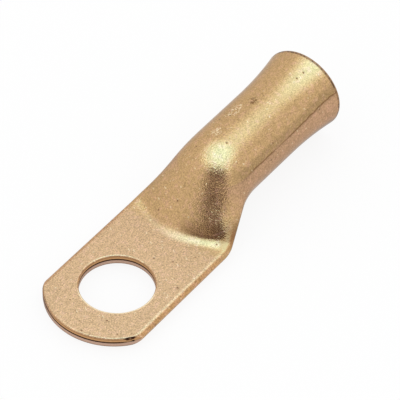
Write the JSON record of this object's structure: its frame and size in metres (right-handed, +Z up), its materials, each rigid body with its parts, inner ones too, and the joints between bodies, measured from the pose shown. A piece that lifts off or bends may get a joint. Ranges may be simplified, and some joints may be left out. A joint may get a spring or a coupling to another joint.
{
  "type": "copper cable lug",
  "caption": "Copper tube lug with a belled barrel for a cable, a sloped shoulder and a flat palm pierced for a stud.",
  "frame": {"origin": "centre of the stud hole on the underside of the palm", "axes": "+X along the barrel from the stud hole to the mouth, +Z up from the underside along the stud hole"},
  "size_m": [0.0691, 0.0216, 0.0162],
  "materials": {
    "copper": "bare drawn and tumbled copper, satin, with a golden bloom"
  },
  "bodies": {
    "root": {"lug_body": "copper"}
  },
  "joints": []
}
